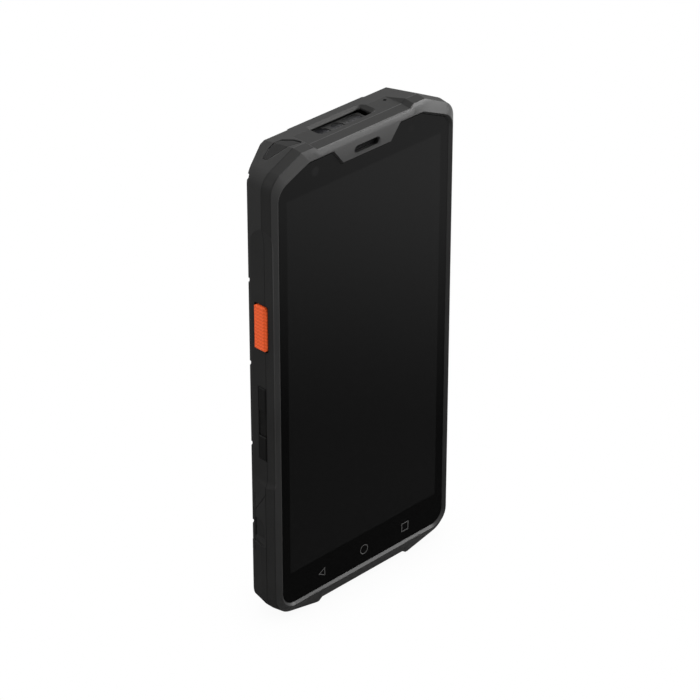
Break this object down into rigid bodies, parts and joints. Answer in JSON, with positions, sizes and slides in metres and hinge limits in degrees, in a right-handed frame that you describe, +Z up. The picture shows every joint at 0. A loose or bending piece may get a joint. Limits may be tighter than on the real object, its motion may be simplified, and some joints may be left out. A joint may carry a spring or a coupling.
{
  "type": "portable barcode data terminal",
  "caption": "Rugged handheld touch terminal with a scan window in its top end, orange side triggers, side keys, a hinged battery cover and a hinged socket cover.",
  "frame": {"origin": "middle of the underside of the overall box, at the level of the two feet", "axes": "+X to the right as the user faces the screen, +Y from the screen to the back, +Z up from the feet to the scan window"},
  "size_m": [0.075, 0.0176, 0.1547],
  "materials": {
    "bezel_plastic": "fine moulded grain",
    "frame_plastic": "fine moulded grain",
    "housing_plastic": "fine moulded grain",
    "orange_plastic": "finely textured",
    "key_rubber": "satin",
    "cover_rubber": "matte",
    "seal_rubber": "matte",
    "cover_glass": "polished, black border",
    "lens_glass": "polished",
    "clear_plastic": "translucent",
    "display": "switched off",
    "black_plastic": "moulded",
    "battery_wrap": "foil wrapped",
    "circuit_board": "solder mask",
    "mesh_metal": "woven, blackened",
    "shield_metal": "tinned",
    "screw_steel": "blackened",
    "trim_metal": "anodised",
    "gold_contact": "gold plated"
  },
  "bodies": {
    "terminal": {"front_bezel": "bezel_plastic", "mid_frame": "frame_plastic", "rear_housing": "housing_plastic", "cover_glass": "cover_glass", "display_panel": "display", "earpiece_mesh": "mesh_metal", "earpiece_receiver": "black_plastic", "front_camera": "black_plastic", "light_sensor": "black_plastic", "perimeter_seal": "seal_rubber", "main_board": "circuit_board", "shield_cans": "shield_metal", "lower_board": "circuit_board", "usb_socket_shell": "shield_metal", "usb_socket_tongue": "black_plastic", "battery_pack": "battery_wrap", "battery_terminals": "gold_contact", "loudspeaker": "black_plastic", "speaker_mesh": "mesh_metal", "vibration_motor": "shield_metal", "microphones": "shield_metal", "rear_camera_trim": "trim_metal", "rear_camera_glass": "lens_glass", "rear_camera": "black_plastic", "flash_window": "clear_plastic", "charging_contacts": "gold_contact", "jack_socket": "black_plastic", "housing_screws": "screw_steel", "scan_window": "lens_glass", "scan_engine": "black_plastic", "scan_lenses": "lens_glass", "trigger_switches": "shield_metal", "key_switches": "shield_metal", "stem_seals": "seal_rubber"},
    "battery_cover": {"battery_cover": "housing_plastic"},
    "jack_cover": {"jack_cover": "cover_rubber"},
    "scan_trigger_right": {"scan_trigger_right": "orange_plastic"},
    "scan_trigger_left": {"scan_trigger_left": "orange_plastic"},
    "volume_up_key": {"volume_up_key": "key_rubber"},
    "volume_down_key": {"volume_down_key": "key_rubber"},
    "power_key": {"power_key": "key_rubber"}
  },
  "joints": [
    {"name": "scan_trigger_right_press", "type": "slide", "parent": "terminal", "child": "scan_trigger_right", "axis": [-1, 0, 0], "range_m": [0, 0.0006], "stiffness_N_per_m": 2500, "springref_m": -0.0002},
    {"name": "scan_trigger_left_press", "type": "slide", "parent": "terminal", "child": "scan_trigger_left", "axis": [1, 0, 0], "range_m": [0, 0.0006], "stiffness_N_per_m": 2500, "springref_m": -0.0002},
    {"name": "volume_up_press", "type": "slide", "parent": "terminal", "child": "volume_up_key", "axis": [1, 0, 0], "range_m": [0, 0.0004], "stiffness_N_per_m": 2500, "springref_m": -0.0002},
    {"name": "volume_down_press", "type": "slide", "parent": "terminal", "child": "volume_down_key", "axis": [1, 0, 0], "range_m": [0, 0.0004], "stiffness_N_per_m": 2500, "springref_m": -0.0002},
    {"name": "power_press", "type": "slide", "parent": "terminal", "child": "power_key", "axis": [-1, 0, 0], "range_m": [0, 0.0004], "stiffness_N_per_m": 2500, "springref_m": -0.0002},
    {"name": "battery_cover_hinge", "type": "hinge", "parent": "terminal", "child": "battery_cover", "pos_m": [0, 0.00795, 0.1032], "axis": [1, 0, 0], "range_deg": [0, 32]},
    {"name": "jack_cover_hinge", "type": "hinge", "parent": "terminal", "child": "jack_cover", "pos_m": [-0.0306, 0.00145, 0.1523], "axis": [0, -1, 0], "range_deg": [0, 100]}
  ]
}
